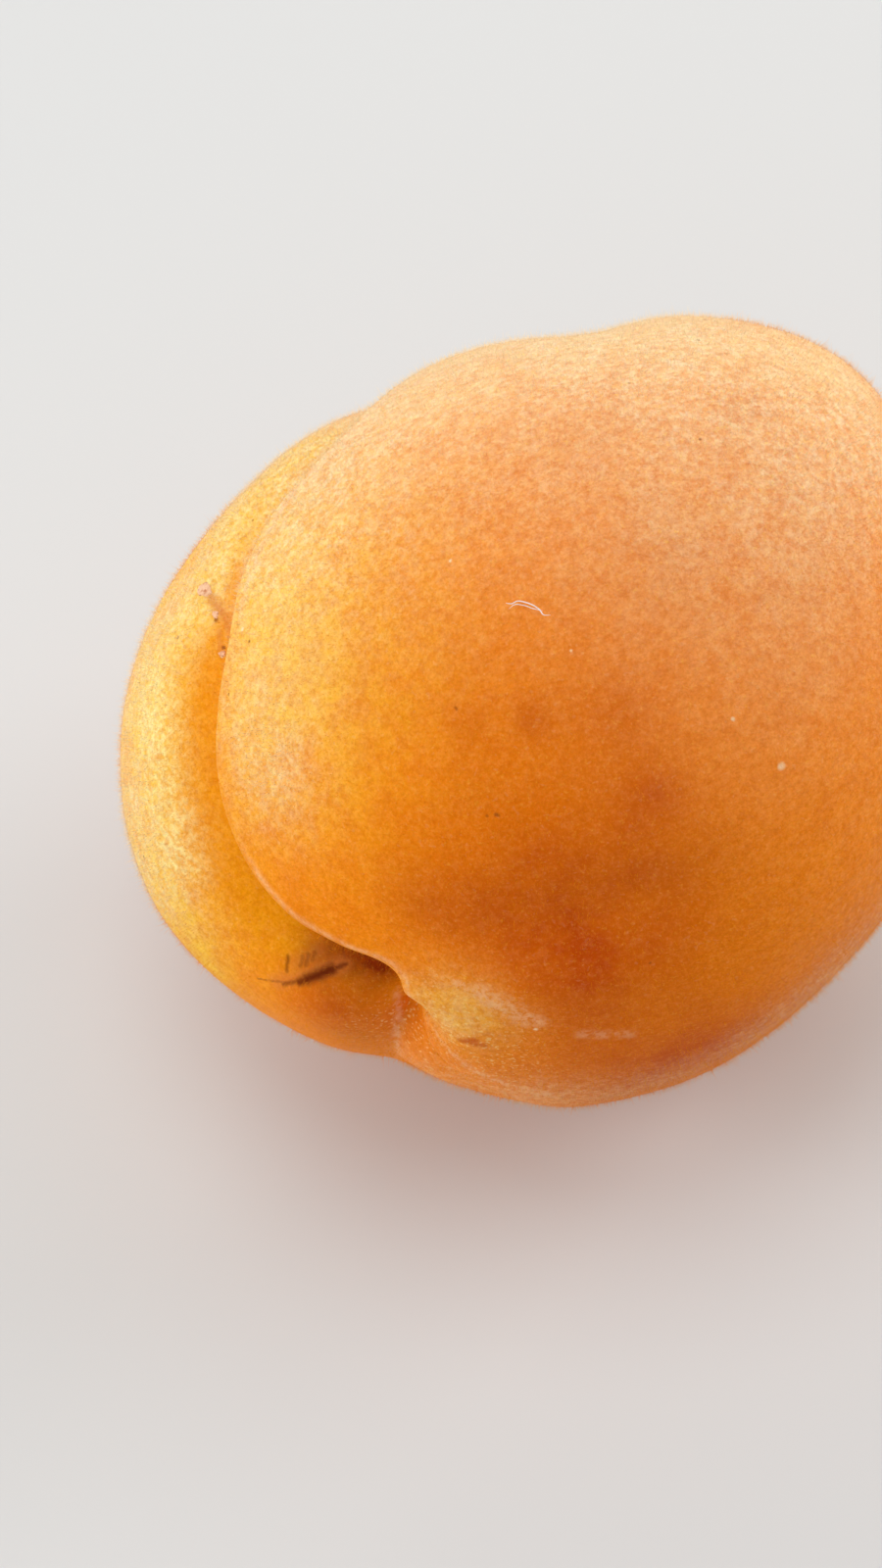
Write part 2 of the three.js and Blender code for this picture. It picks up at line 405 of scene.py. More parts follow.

# The lip of the large cheek over the crease carries a painted highlight, light caught by the down on its
# edge, pale where the crease is deep. At the stem pit it lies nearer the edge. It fades along the middle of
# the seam and returns higher up.
LIP_PAST_LINE, LIP_NEARER_AT_PIT = 1.66, 0.32
LIP_HALF_WIDTH = 0.28
LIP_SHIFT_TURNS = (26, 50)
LIP_SHOWS_DEPTHS, LIP_FAINTER_DEPTHS = (1.2, 2.2), (3.0, 4.0)
LIP_FADE_TURNS, LIP_RETURN_TURNS = (26, 36), (60, 74)
LIP_STRENGTH, LIP_FAINTER, LIP_FADE, LIP_RETURN = 1.1, 0.5, 0.9, 0.6

# Where the down veils the skin, with a painted sheen of light on it high on the fruit, along the small
# cheek and in a band along the lower outline: place, reach in degrees, strength
BLOOM_AND_SHEEN_PATCHES = [
    ((122, -28), 32, 0.50), ((168, -72), 14, 0.48), ((120, -53), 12, 0.80), ((95, -76), 13, 0.18),
    ((88, -58), 26, 0.12), ((-41, -17), 11, -0.10), ((76, 3), 6, 0.45), ((50, -8), 12, 0.20),
    ((-6, -5), 8, 0.32), ((-24, 28), 9, 0.25), ((-29, 13), 9, 0.30), ((-39, 5), 9, 0.25),
    ((-48, -4), 9, 0.20), ((-57, -15), 9, 0.20), ((-67, -25), 9, 0.20), ((80, -14), 22, 0.80),
    ((40, -6), 9, 0.45), ((70, 21), 14, 0.85), ((45, 35), 13, 0.90), ((0, -88), 24, 0.07),
    ((165, 15), 50, 0.50), ((96, -3), 12, 0.60), ((-125, -18), 40, 0.50),
]
BLOOM_AND_SHEEN_LEAST, BLOOM_AND_SHEEN_MOST = 0.01, 0.85
BLOOM_AND_SHEEN_LEFT_OUT_IN_CREASE = 0.9  # share of the bloom and its painted sheen that is left out in the crease


def patchwork(patches):
    return sum(strength * bell(apart(spots, where), reach) for where, reach, strength in patches)


def band(strength, middle, reach):
    return strength * bell(across - middle * small_wide, reach * small_wide)


for name, patches in PATCHES.items():
    set_mask(apricot, name, patchwork(patches))
pit = patchwork(PIT_SHADE_PATCHES)
set_mask(apricot, "pit", pit)

turn, lean = place(spots)
across, crease_deep, large_wide, small_wide = crease_across(turn, lean)
narrow = smoothstep(turn, *NARROWING_TURNS)
in_crease = np.clip(band(**WIDE_BAND), 0, 1) * (1 - narrow) + band(**NARROW_BAND) * narrow
in_crease *= smoothstep(crease_deep, *CLEAR_COLOR_DEPTHS)
set_mask(apricot, "crease", in_crease)

lip_line = CREASE_OFFSET * large_wide + LIP_PAST_LINE
lip_line = lip_line - LIP_NEARER_AT_PIT * (1 - smoothstep(turn, *LIP_SHIFT_TURNS))
lip_low = LIP_FADE * smoothstep(turn, *LIP_FADE_TURNS)
lip_high = LIP_RETURN * smoothstep(turn, *LIP_RETURN_TURNS)
lip = bell(across + lip_line, LIP_HALF_WIDTH) * (LIP_STRENGTH - lip_low + lip_high)
lip *= smoothstep(crease_deep, *LIP_SHOWS_DEPTHS)
lip *= 1 - LIP_FAINTER * smoothstep(crease_deep, *LIP_FAINTER_DEPTHS)
set_mask(apricot, "lip", lip)

bloom_and_sheen = (BLOOM_AND_SHEEN_LEAST + patchwork(BLOOM_AND_SHEEN_PATCHES)) * (1 - BLOOM_AND_SHEEN_LEFT_OUT_IN_CREASE * in_crease)
bloom_and_sheen = np.clip(bloom_and_sheen * (1 - np.clip(pit, 0, 1)), BLOOM_AND_SHEEN_LEAST, BLOOM_AND_SHEEN_MOST)
set_mask(apricot, "bloom_and_sheen", bloom_and_sheen)

# ---------------------------------------------------------------- the down

# Layers of down: name, how many hairs, shortest and longest, thickness at the root, lean, seed
DOWN_LAYERS = [
    ("down_first", 47500, (0.20, 0.40), 0.018, 0.7, 21),
    ("down_second", 47500, (0.20, 0.40), 0.018, 0.7, 22),
    ("down_third", 47500, (0.25, 0.55), 0.018, 0.5, 23),
]
LONG_DOWN = ("down_long", 11000, (0.45, 0.85), 0.016, 0.6, 24)
# Where along a hair its rings of three corners stand, as shares of its length
SHORT_STATIONS, LONG_STATIONS = (0,), (0, 0.4, 0.75)
LONG_BEND = 0.3
HAIR_TAPER = 0.8
ROOT_SUNK = 0.03
BARE_SKIN_SHARE = 0.15  # hairs grow here too, this many beside one where the bloom and its painted sheen are full
TIP_GAP, FLOOR_GAP = 0.04, 0.03  # hairs whose tips are nearer the skin or the floor are left out


def hair_roots(rng, count):
    """Random points over the skin, more where the bloom and its painted sheen are strong, with their
    normals and that strength.
    """
    corners = skin_points[skin_faces]
    crossed = np.cross(corners[:, 2] - corners[:, 0], corners[:, 3] - corners[:, 1])
    area = np.linalg.norm(crossed, axis=1)
    bloom_and_sheen_level = bloom_and_sheen[skin_faces].mean(1)
    share = area * (BARE_SKIN_SHARE + bloom_and_sheen_level)
    chosen = rng.choice(len(corners), size=count, p=share / share.sum())
    u, v = rng.random((2, count, 1))
    quad = corners[chosen]
    near, far = quad[:, 0] * (1 - u) + quad[:, 1] * u, quad[:, 3] * (1 - u) + quad[:, 2] * u
    points = near * (1 - v) + far * v
    return points, crossed[chosen] / area[chosen, None], bloom_and_sheen_level[chosen]


def clear_of_skin(tips):
    """Whether hair tips stand outside the fruit and above the floor."""
    own = (tips - shift) @ axes.T
    far = np.linalg.norm(own, axis=1)
    return (far > surface_radius(own / far[:, None]) + TIP_GAP) & (tips[:, 2] > FLOOR_GAP)


def hairs(name, count, length, width, lean, seed, stations, bend=0.0):
    """A piece of three-sided hairs that narrow to a point through the stations."""
    rng = np.random.default_rng(seed)
    root, normal, bloom_and_sheen_level = hair_roots(rng, count)
    sideways = rng.normal(size=(count, 3))
    way = unit(normal + lean * unit(sideways) * rng.random((count, 1)) ** 0.5)
    long = rng.uniform(*length, (count, 1))
    curl = bend * long * unit(rng.normal(size=(count, 3)))
    good = clear_of_skin(root + way * long + curl)
    root, way, long, curl = root[good], way[good], long[good], curl[good]
    side = unit(np.cross(way, sideways[good]))
    other = np.cross(way, side)
    points = []
    for station in stations:
        ring = root + way * (long * station - ROOT_SUNK) + curl * station**2
        thick = width / 2 * (1 - HAIR_TAPER * station)
        for angle in np.radians([0, 120, 240]):
            points.append(ring + thick * (side * np.cos(angle) + other * np.sin(angle)))
    points.append(root + way * long + curl)
    points = np.stack(points, axis=1)
    faces = [(0, 2, 1)]
    for level in range(len(stations) - 1):
        low = 3 * level
        for i in range(3):
            j = (i + 1) % 3
            faces += [(low + i, low + j, low + 3 + j), (low + i, low + 3 + j, low + 3 + i)]
    top = 3 * (len(stations) - 1)
    faces += [(top + i, top + (i + 1) % 3, top + 3) for i in range(3)]
    each = points.shape[1]
    first = np.arange(len(points))[:, None, None] * each
    piece = new_mesh_object(name, points.reshape(-1, 3), (np.array(faces)[None] + first).reshape(-1, 3))
    set_mask(piece, "bloom_and_sheen", np.repeat(bloom_and_sheen_level[good], each))
    return piece


down_pieces = [hairs(*layer, SHORT_STATIONS) for layer in DOWN_LAYERS]
down_pieces.append(hairs(*LONG_DOWN, LONG_STATIONS, bend=LONG_BEND))
for piece in down_pieces:
    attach(piece, "root")

# ---------------------------------------------------------------- small things on the skin


SMALL_STEP = 0.01  # as a share of the distance to the fruit's middle


def skin_frame(where):
    """A point of the skin with unit directions east, north and out of it."""
    middle, east, north = tangents(where)
    near = middle + SMALL_STEP * np.stack([np.zeros(3), east, north])
    here, beside, above = to_frame(unit(near))
    east, north = unit(beside - here), unit(above - here)
    return here, east, north, unit(np.cross(east, north))


# Crusts of dried skin on the small cheek: name, place, half sizes along and across, height,
# bearing, seed
SCABS = [
    ("crust_large", (75.3, 6.2), 0.70, 0.46, 0.16, 28, 31),
    ("crust_small", (70.9, 4.7), 0.30, 0.22, 0.10, 60, 32),
    ("crust_pale", (64.6, 4.9), 0.26, 0.18, 0.12, 10, 33),
]
CRUST_RINGS, CRUST_SPOKES = 12, 48
CRUST_SUNK = 0.06
CRUST_RIM_SUNK = 0.01
CRUST_RIM_WAVES = [(0.12, 3, 1), (0.07, 7, 2)]  # share of the rim's reach, waves round it, phase
CRUST_LUMPS = dict(size=0.35, share=0.35)


def crust(where, half_length, half_width, tall, bearing, seed):
    """A closed low dome with a ragged rim and a lumpy top."""
    here, east, north, out = skin_frame(where)
    turn = np.radians(bearing)
    along = north * np.cos(turn) + east * np.sin(turn)
    sideways = np.cross(out, along)
    rings = np.arange(1, CRUST_RINGS + 1) / CRUST_RINGS
    angle = np.arange(CRUST_SPOKES) * 2 * np.pi / CRUST_SPOKES
    reach, swing = np.meshgrid(rings, angle, indexing="ij")
    edge = 1
    for share, count, phase in CRUST_RIM_WAVES:
        edge = edge + share * np.sin(count * swing + phase * seed)
    flat_a = (reach * edge * half_length * np.cos(swing)).ravel()
    flat_b = (reach * edge * half_width * np.sin(swing)).ravel()
    flat_a, flat_b = np.append(0, flat_a), np.append(0, flat_b)
    rise = tall * (1 - np.append(0, reach.ravel()) ** 4)
    ground = here + flat_a[:, None] * along + flat_b[:, None] * sideways
    rise = rise * (1 + CRUST_LUMPS["share"] * waves(ground, CRUST_LUMPS["size"], seed))
    own = (ground - shift) @ axes.T
    skin_level = to_frame(unit(own))
    top = skin_level + out * (rise - CRUST_RIM_SUNK)[:, None]
    bottom = skin_level - out * CRUST_SUNK
    count = len(top)
    faces = []
    for side, start in ((1, 0), (-1, count)):
        for j in range(CRUST_SPOKES):
            k = (j + 1) % CRUST_SPOKES
            faces.append((start, start + 1 + j, start + 1 + k)[::side])
            for i in range(CRUST_RINGS - 1):
                a, b = start + 1 + i * CRUST_SPOKES, start + 1 + (i + 1) * CRUST_SPOKES
                faces.append((a + j, b + j, b + k)[::side])
                faces.append((a + j, b + k, a + k)[::side])
    rim = 1 + (CRUST_RINGS - 1) * CRUST_SPOKES
    for j in range(CRUST_SPOKES):
        k = (j + 1) % CRUST_SPOKES
        faces.append((rim + j, count + rim + j, count + rim + k))
        faces.append((rim + j, count + rim + k, rim + k))
    return np.concatenate([top, bottom]), np.array(faces)


crust_pieces = [new_mesh_object(name, *crust(*scab)) for name, *scab in SCABS]

# Threads of lint lying in the down: name, places along it with the height over the skin, thickness
LINT = [
    ("lint_long", [(48.2, -50.1, 0.25), (47.6, -50.8, 0.32), (47.7, -51.7, 0.30), (46.2, -53.0, 0.40),
                   (44.7, -53.8, 0.34), (43.4, -54.1, 0.30), (42.9, -54.9, 0.22)], 0.07),
    ("lint_short", [(46.9, -50.3, 0.25), (47.2, -51.2, 0.34), (46.4, -52.3, 0.30), (45.2, -53.1, 0.42),
                    (44.2, -54.2, 0.28)], 0.05),
]
THREAD_SIDES, THREAD_STEPS = 6, 8
THREAD_TIP, THREAD_TAPER = 0.3, 3  # share of the thickness at a tip, and how fast it grows from there


def smooth_between(a, b, c, d, t):
    """A point on the smooth curve from b to c, which also follows the knots before and after."""
    return 0.5 * (2 * b + (c - a) * t + (2 * a - 5 * b + 4 * c - d) * t**2
                  + (3 * b - a - 3 * c + d) * t**3)


def thread(places, thick):
    """A closed round thread along a smooth curve through places over the skin."""
    knots = np.array([on_skin((turn, lean), height) for turn, lean, height in places])
    padded = np.concatenate([2 * knots[:1] - knots[1:2], knots, 2 * knots[-1:] - knots[-2:-1]])
    line = []
    for i in range(len(knots) - 1):
        for t in np.arange(THREAD_STEPS) / THREAD_STEPS:
            line.append(smooth_between(*padded[i : i + 4], t))
    line = np.array(line + [knots[-1]])
    way = unit(np.gradient(line, axis=0))
    side = unit(np.cross(way, unit(line - shift)))
    other = np.cross(way, side)
    angle = np.arange(THREAD_SIDES) * 2 * np.pi / THREAD_SIDES
    taper = np.minimum(1, THREAD_TIP + THREAD_TAPER * np.minimum(*np.linspace([0, 1], [1, 0], len(line)).T))
    round_way = side[:, None] * np.cos(angle)[:, None] + other[:, None] * np.sin(angle)[:, None]
    points = (line[:, None] + round_way * (thick / 2 * taper)[:, None, None]).reshape(-1, 3)
    faces = []
    for i in range(len(line) - 1):
        for j in range(THREAD_SIDES):
            a, b = i * THREAD_SIDES + j, i * THREAD_SIDES + (j + 1) % THREAD_SIDES
            faces += [(a, b, b + THREAD_SIDES), (a, b + THREAD_SIDES, a + THREAD_SIDES)]
    last = (len(line) - 1) * THREAD_SIDES
    for j in range(1, THREAD_SIDES - 1):
        faces += [(0, j + 1, j), (last, last + j, last + j + 1)]
    return points, np.array(faces)


lint_pieces = [new_mesh_object(name, *thread(places, thick)) for name, places, thick in LINT]
for piece in crust_pieces + lint_pieces:
    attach(piece, "root")

# ---------------------------------------------------------------- node helpers


def connect(tree, value, socket):
    """Link a socket, or set it when the value is plain."""
    if isinstance(value, bpy.types.NodeSocket):
        tree.links.new(value, socket)
    else:
        socket.default_value = value


def math(tree, operation, *values, clamp=False):
    node = tree.nodes.new("ShaderNodeMath")
    node.operation = operation
    node.use_clamp = clamp
    for value, socket in zip(values, node.inputs):
        connect(tree, value, socket)
    return node.outputs[0]


def vector_math(tree, operation, *values):
    node = tree.nodes.new("ShaderNodeVectorMath")
    node.operation = operation
    for value, socket in zip(values, node.inputs):
        connect(tree, value, socket)
    return node.outputs["Value" if operation in ("LENGTH", "DISTANCE", "DOT_PRODUCT") else "Vector"]


def ramp(tree, value, low, high, out_low=0.0, out_high=1.0):
    """Smoothly from one value to another as the input goes from low to high."""
    node = tree.nodes.new("ShaderNodeMapRange")
    node.interpolation_type = "SMOOTHSTEP"
    for setting, socket in zip((value, low, high, out_low, out_high), node.inputs):
        connect(tree, setting, socket)
    return node.outputs[0]


# Where a Mix node keeps its factor, its two colours and its mixed colour
MIX_FACTOR, MIX_FIRST, MIX_SECOND, MIX_RESULT = 0, 6, 7, 2


def mix(tree, factor, a, b):
    node = tree.nodes.new("ShaderNodeMix")
    node.data_type = "RGBA"
    connect(tree, factor, node.inputs[MIX_FACTOR])
    for value, socket in ((a, node.inputs[MIX_FIRST]), (b, node.inputs[MIX_SECOND])):
        connect(tree, value if isinstance(value, bpy.types.NodeSocket) else (*value, 1), socket)
    return node.outputs[MIX_RESULT]


def noise(tree, position, size_mm, detail=2.0, roughness=0.5):
    """Noise about 0 to 1 in position, which is in millimetres."""
    node = tree.nodes.new("ShaderNodeTexNoise")
    connect(tree, position, node.inputs["Vector"])
    node.inputs["Scale"].default_value = 1 / size_mm
    node.inputs["Detail"].default_value = detail
    node.inputs["Roughness"].default_value = roughness
    return node.outputs["Fac"]


def millimetres(tree):
    """Position on the piece, in millimetres."""
    coordinates = tree.nodes.new("ShaderNodeTexCoord").outputs["Object"]
    return vector_math(tree, "MULTIPLY", coordinates, (1 / MM, 1 / MM, 1 / MM))


def attribute(tree, name):
    node = tree.nodes.new("ShaderNodeAttribute")
    node.attribute_name = name
    return node.outputs["Fac"]


def new_group(name, inputs):
    """A node group with a Mask output and its named inputs, given as name, kind and start value."""
    group = bpy.data.node_groups.new(name, "ShaderNodeTree")
    for label, kind, start in inputs:
        socket = group.interface.new_socket(label, in_out="INPUT", socket_type=kind)
        socket.default_value = start
    group.interface.new_socket("Mask", in_out="OUTPUT", socket_type="NodeSocketFloat")
    into = group.nodes.new("NodeGroupInput").outputs
    result = group.nodes.new("NodeGroupOutput").inputs["Mask"]
    return group, into, result


def use_group(tree, group, **values):
    node = tree.nodes.new("ShaderNodeGroup")
    node.node_tree = group
    for label, value in values.items():
        connect(tree, value, node.inputs[label.replace("_", " ")])
    return node.outputs["Mask"]


VECTOR, FLOAT = "NodeSocketVector", "NodeSocketFloat"


def inside(tree, far, size, rim):
    """1 where the distance is under the size, fading to 0 over the rim."""
    low = math(tree, "SUBTRACT", size, rim)
    high = math(tree, "ADD", size, rim)
    return ramp(tree, far, low, high, 1.0, 0.0)


def spot_group():
    """A round mark: 1 within its radius, fading to 0 over its rim."""
    group, into, result = new_group(
        "spot",
        [("Position", VECTOR, (0, 0, 0)), ("Middle", VECTOR, (0, 0, 0)), ("Radius", FLOAT, 1.0),
         ("Rim", FLOAT, 0.2)],
    )
    far = vector_math(group, "DISTANCE", into["Position"], into["Middle"])
    group.links.new(inside(group, far, into["Radius"], into["Rim"]), result)
    return group


def stroke_group():
    """A straight mark between two points: 1 within its half width, fading to 0 over its rim."""
    group, into, result = new_group(
        "stroke",
        [("Position", VECTOR, (0, 0, 0)), ("Start", VECTOR, (0, 0, 0)), ("End", VECTOR, (0, 0, 1)),
         ("Half Width", FLOAT, 0.2), ("Rim", FLOAT, 0.1)],
    )
    span = vector_math(group, "SUBTRACT", into["End"], into["Start"])
    offset = vector_math(group, "SUBTRACT", into["Position"], into["Start"])
    dot = vector_math(group, "DOT_PRODUCT", offset, span)
    length_squared = vector_math(group, "DOT_PRODUCT", span, span)
    along = math(group, "DIVIDE", dot, length_squared, clamp=True)
    scaled = group.nodes.new("ShaderNodeVectorMath")
    scaled.operation = "SCALE"
    group.links.new(span, scaled.inputs[0])
    group.links.new(along, scaled.inputs["Scale"])
    far = vector_math(group, "DISTANCE", offset, scaled.outputs["Vector"])
    group.links.new(inside(group, far, into["Half Width"], into["Rim"]), result)
    return group


# ---------------------------------------------------------------- materials

MID_ORANGE = (0.95, 0.246, 0.001)
YELLOW = (0.99, 0.53, 0.02)
DEEP_ORANGE = (0.57, 0.072, 0.001)
ROSY = (0.865, 0.35, 0.11)
PALE = (1.0, 0.61, 0.26)
BLOOM_AND_SHEEN_CREAM = (1.0, 0.80, 0.50)
BLOOM_AND_SHEEN_GOLD = (1.0, 0.82, 0.38)
CREASE_GLOW_ORANGE = (0.90, 0.33, 0.001)
# painted shade in the stem pit under the lip
PIT_SHADE_ORANGE = (0.22, 0.024, 0.001)
GLINT_WHITE = (1.0, 0.90, 0.40)
LIP_HIGHLIGHT_PINK = (0.96, 0.66, 0.42)
FLECK_AND_GLINT_CREAM = (1.0, 0.84, 0.52)
SCAR_BROWN = (0.12, 0.012, 0.001)
SPECK_BROWN = (0.28, 0.06, 0.008)
STAIN_BROWN = (0.66, 0.20, 0.05)
SCAR_PINK = (0.93, 0.52, 0.27)
GLOSS_ORANGE = (1.0, 0.6, 0.2)
SHEEN_CREAM = (1.0, 0.85, 0.6)
DOWN_WARM = (0.93, 0.36, 0.010)
DOWN_CREAM = (1.0, 0.78, 0.48)
PORE_YELLOW = (1.0, 0.60, 0.07)
GRAIN_DEEP = (0.72, 0.13, 0.001)
PALE_GRAIN_AND_SPARKLE = (1.0, 0.84, 0.36)
CRUST_PINK = (0.90, 0.55, 0.33)
CRUST_BROWN = (0.58, 0.22, 0.08)
LINT_WHITE = (0.86, 0.78, 0.76)

SKIN_ROUGHNESS, CRUST_ROUGHNESS, LINT_ROUGHNESS, DOWN_ROUGHNESS = 0.42, 0.6, 0.6, 0.5

# The layers of ripeness and of painted light and shade, each painted over the one before it. Pale is partly
# a painted sheen high on the fruit, deep partly painted shade low on the fruit and under the lip, crease a
# painted glow of light bounced in the groove, and pit painted shade under the lip at the stem pit.
RIPENESS_AND_PAINTED_LIGHT = [("pale", PALE), ("rosy", ROSY), ("deep", DEEP_ORANGE), ("yellow", YELLOW),
            ("crease", CREASE_GLOW_ORANGE), ("pit", PIT_SHADE_ORANGE)]

# Noises in the skin: size in millimetres, detail, roughness
NOISES = {
    "broad": (7.0, 2.0, 0.5),
    "mottle": (2.2, 3.0, 0.65),
    "middle": (1.6, 3.0, 0.6),
    "fine": (0.5, 4.0, 0.7),
    "glint": (0.5, 4.0, 0.8),
    "small": (0.45, 2.0, 0.6),
    "tip": (0.26, 0.0, 0.5),
    "pore": (0.24, 2.0, 0.6),
    "sparkle": (0.22, 0.0, 0.5),
    "tiny": (0.18, 3.0, 0.7),
}
# What is made of each noise: the noise, the two levels between which it counts, the value at each
LEVELS = {
    "broad wobble": ("broad", 0.3, 0.7, -0.14, 0.14),
    "middle wobble": ("middle", 0.3, 0.7, -0.10, 0.10),
    "deep grains": ("middle", 0.62, 0.34, 0.0, 0.15),
    "blotches": ("mottle", 0.30, 0.68, 0.55, 1.05),
    "speckle": ("fine", 0.38, 0.64, 0.30, 1.1),
    "pores": ("pore", 0.58, 0.72, 0.0, 0.45),
    "ragged lip": ("fine", 0.36, 0.56, 0.35, 1.0),
    "glints": ("glint", 0.38, 0.66, 0.15, 0.85),
    "tiny deep": ("tiny", 0.50, 0.32, 0.0, 0.16),
    "tiny pale": ("tiny", 0.50, 0.66, 0.0, 0.20),
    "tiny light": ("tiny", 0.32, 0.68, 0.95, 1.03),
    "small deep": ("small", 0.50, 0.32, 0.0, 0.16),
    "small pale": ("small", 0.50, 0.66, 0.0, 0.20),
    "small light": ("small", 0.32, 0.68, 0.97, 1.02),
    "tips": ("tip", 0.72, 0.80, 0.0, 0.35),
    "sparkles": ("sparkle", 0.64, 0.74, 0.0, 0.75),
    "broken scar": ("fine", 0.40, 0.58, 0.15, 1.0),
}
PATCH_WOBBLE = 1.6  # how strongly the noises shift the patches' borders
VEIL_SHARE, LIP_SHARE = 0.95, 0.7
PORES_ON_BARE_SKIN, GRAINS_ON_BARE_SKIN = 0.3, 0.12
MARK_WARP_SIZE, MARK_WARP = 0.35, 0.22  # millimetres
RELIEF = 0.06  # millimetres
TINY_RELIEF, SCRATCH_RELIEF = 0.6, -0.5  # beside the fine noise, which counts whole

# Soft edges of the marks, as shares of their radius or half width
SPOT_RIM, PINK_RIM, STAIN_RIM, BROWN_RIM = 0.6, 1.0, 0.9, 0.95

# Round marks in the skin: place, radius in millimetres, strength
SPECKS = [
    ((70.0, 4.7), 0.14, 0.8), ((65.5, 4.5), 0.14, 0.9), ((59.4, -9.2), 0.10, 0.8),
    ((34.4, -39.4), 0.10, 0.6), ((131, -58.8), 0.10, 0.8), ((105.8, -59.9), 0.09, 0.6),
    ((97.1, -71.2), 0.09, 0.6), ((15.5, -36.3), 0.15, 0.7), ((16.4, -35.1), 0.10, 0.5),
    ((43.4, 37.0), 0.16, 0.7), ((-24, -31), 0.10, 0.5), ((69.5, 11.8), 0.10, 0.6),
    ((84.6, -2.3), 0.09, 0.6), ((51.8, -20.4), 0.08, 0.5), ((53.6, -3.1), 0.10, 0.5),
]
FLECKS = [
    ((61.8, -7.9), 0.12, 0.9), ((64.3, 5.0), 0.12, 0.9), ((-26.7, -63.6), 0.22, 0.6),
    ((-5.7, -66), 0.12, 0.6), ((34.4, -55.7), 0.09, 0.6), ((59.4, -44), 0.09, 0.7),
    ((-17.2, -10.6), 0.14, 0.6),
]
# Long marks in the skin: places at both ends, half width in millimetres, strength
BROWN_STROKES = [
    ((14.5, 31.0), (11.6, 26.2), 0.08, 0.45),
    ((11.4, 26.6), (10.0, 22.5), 0.16, 0.60),
    ((10.2, 23.5), (9.4, 19.8), 0.26, 0.85),
    ((9.9, 22.0), (8.6, 17.2), 0.34, 0.95),
    ((8.7, 17.6), (7.9, 15.1), 0.16, 0.75),
    ((14.8, 23.5), (13.0, 24.7), 0.14, 0.60),
    ((13.4, 21.2), (12.3, 22.1), 0.14, 0.40),
    ((13.0, 20.3), (11.9, 21.2), 0.15, 0.45),
    ((12.6, 19.3), (11.9, 20.0), 0.13, 0.40),
]
SMUDGES = [
    ((13.2, 23.0), (12.4, 18.6), 0.50, 0.25),
    ((12.5, 28.0), (8.2, 15.5), 0.50, 0.40),
    ((74.5, 5.4), (70.9, 3.8), 0.34, 0.65),
    ((70.9, 3.6), (66.0, 2.6), 0.36, 0.50),
    ((68.2, 4.6), (64.3, 5.0), 0.22, 0.45),
    ((65.5, 1.0), (61.0, -1.5), 0.45, 0.45),
]
BRUISES = [
    ((-11.0, 0.2), (-12.0, -1.9), 0.26, 0.75),
    ((-11.6, -0.6), (-13.9, -1.7), 0.28, 0.65),
]
PINK_STROKES = [
    ((-2.4, -10.6), (-6.0, -12.2), 0.30, 0.40),
    ((-6.0, -12.0), (-10.5, -12.2), 0.58, 0.50),
    ((-9.5, -11.8), (-14.2, -12.0), 0.82, 0.55),
    ((-13.0, -12.4), (-16.6, -12.6), 0.50, 0.50),
    ((-23.9, -13.3), (-30.6, -16.2), 0.40, 0.35),
    ((-2.7, 14.2), (-7.0, 19.6), 0.26, 0.45),
    ((-7.0, 19.6), (-12.2, 27.5), 0.32, 0.50),
    ((-12.2, 27.5), (-18.0, 34.8), 0.28, 0.45),
    ((-8.7, 5.6), (-14.0, 7.2), 0.28, 0.45),
    ((-14.0, 7.2), (-18.8, 8.8), 0.34, 0.50),
    ((-18.8, 8.8), (-25.1, 8.4), 0.40, 0.50),
    ((-25.1, 8.4), (-31.3, 7.8), 0.36, 0.45),
]


def new_material(name, color, roughness):
    material = bpy.data.materials.new(name)
    material.use_nodes = True
    shader = material.node_tree.nodes["Principled BSDF"]
    shader.inputs["Base Color"].default_value = (*color, 1)
    shader.inputs["Roughness"].default_value = roughness
    return material, shader


def strongest(tree, masks):
    total = masks[0]
    for mask in masks[1:]:
        total = math(tree, "MAXIMUM", total, mask)
    return total


